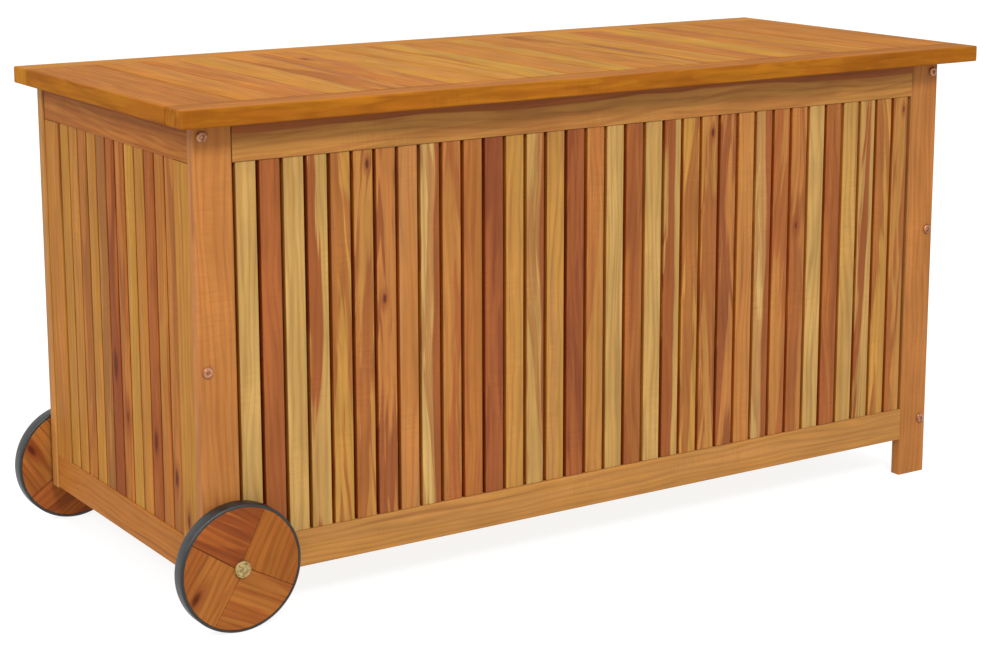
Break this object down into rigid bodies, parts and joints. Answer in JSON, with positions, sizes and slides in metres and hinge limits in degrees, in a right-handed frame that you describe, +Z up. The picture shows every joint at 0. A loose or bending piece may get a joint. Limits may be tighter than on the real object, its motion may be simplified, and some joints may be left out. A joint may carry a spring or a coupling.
{
  "type": "deck storage box",
  "caption": "Slatted hardwood garden storage box with a hinged plank lid, two legs at one end and two rubber-tyred wooden wheels at the other",
  "frame": {"origin": "centre of the overall bounding box in X and Y, at the ground under the legs and wheels", "axes": "+X along the box towards the two legs, the wheels being at -X; the front is -Y and the hinges are at +Y; +Z up"},
  "size_m": [1.1402, 0.5092, 0.58],
  "materials": {
    "frame_wood": "oiled hardwood, orange brown",
    "slat_wood": "oiled hardwood, slats from pale straw to red brown",
    "lid_wood": "oiled hardwood, satin",
    "wheel_wood": "oiled hardwood, red brown",
    "floor_wood": "plain sawn softwood",
    "rubber": "dark grey rubber",
    "brass": "antique brass plating, satin",
    "zinc_steel": "zinc plated, dull"
  },
  "bodies": {
    "box_body": {"back_axle_bolt": "brass", "back_axle_nut": "zinc_steel", "back_axle_spacer": "zinc_steel", "back_bottom_rail": "frame_wood", "back_left_bottom_bolt": "brass", "back_left_middle_bolt": "brass", "back_left_post": "frame_wood", "back_left_top_bolt": "brass", "back_right_bottom_bolt": "brass", "back_right_leg": "frame_wood", "back_right_middle_bolt": "brass", "back_right_top_bolt": "brass", "back_slats": "slat_wood", "back_top_rail": "frame_wood", "floor_bearer_left": "floor_wood", "floor_bearer_middle": "floor_wood", "floor_bearer_right": "floor_wood", "floor_board_1": "floor_wood", "floor_board_2": "floor_wood", "floor_board_3": "floor_wood", "floor_board_4": "floor_wood", "front_axle_bolt": "brass", "front_axle_nut": "zinc_steel", "front_axle_spacer": "zinc_steel", "front_bottom_rail": "frame_wood", "front_left_bottom_bolt": "brass", "front_left_middle_bolt": "brass", "front_left_post": "frame_wood", "front_left_top_bolt": "brass", "front_right_bottom_bolt": "brass", "front_right_leg": "frame_wood", "front_right_middle_bolt": "brass", "front_right_top_bolt": "brass", "front_slats": "slat_wood", "front_top_rail": "frame_wood", "left_back_stile": "frame_wood", "left_bottom_rail": "frame_wood", "left_front_stile": "frame_wood", "left_hinge_fixed_leaf": "brass", "left_hinge_pin": "brass", "left_slats": "slat_wood", "left_top_rail": "frame_wood", "right_back_stile": "frame_wood", "right_bottom_rail": "frame_wood", "right_front_stile": "frame_wood", "right_hinge_fixed_leaf": "brass", "right_hinge_pin": "brass", "right_slats": "slat_wood", "right_top_rail": "frame_wood"},
    "lid": {"left_hinge_lid_leaf": "brass", "lid_back_rail": "lid_wood", "lid_boards": "lid_wood", "lid_front_rail": "lid_wood", "lid_left_end_board": "lid_wood", "lid_right_end_board": "lid_wood", "right_hinge_lid_leaf": "brass"},
    "front_wheel": {"front_wheel_disc": "wheel_wood", "front_wheel_tyre": "rubber"},
    "back_wheel": {"back_wheel_disc": "wheel_wood", "back_wheel_tyre": "rubber"}
  },
  "joints": [
    {"name": "lid_hinge", "type": "hinge", "parent": "box_body", "child": "lid", "pos_m": [0.00505, 0.22925, 0.55985], "axis": [-1, 0, 0], "range_deg": [0, 100]},
    {"name": "front_wheel_spin", "type": "hinge", "parent": "box_body", "child": "front_wheel", "pos_m": [-0.49755, -0.23115, 0.0725], "axis": [0, 1, 0], "continuous": true},
    {"name": "back_wheel_spin", "type": "hinge", "parent": "box_body", "child": "back_wheel", "pos_m": [-0.49755, 0.24205, 0.0725], "axis": [0, 1, 0], "continuous": true}
  ]
}
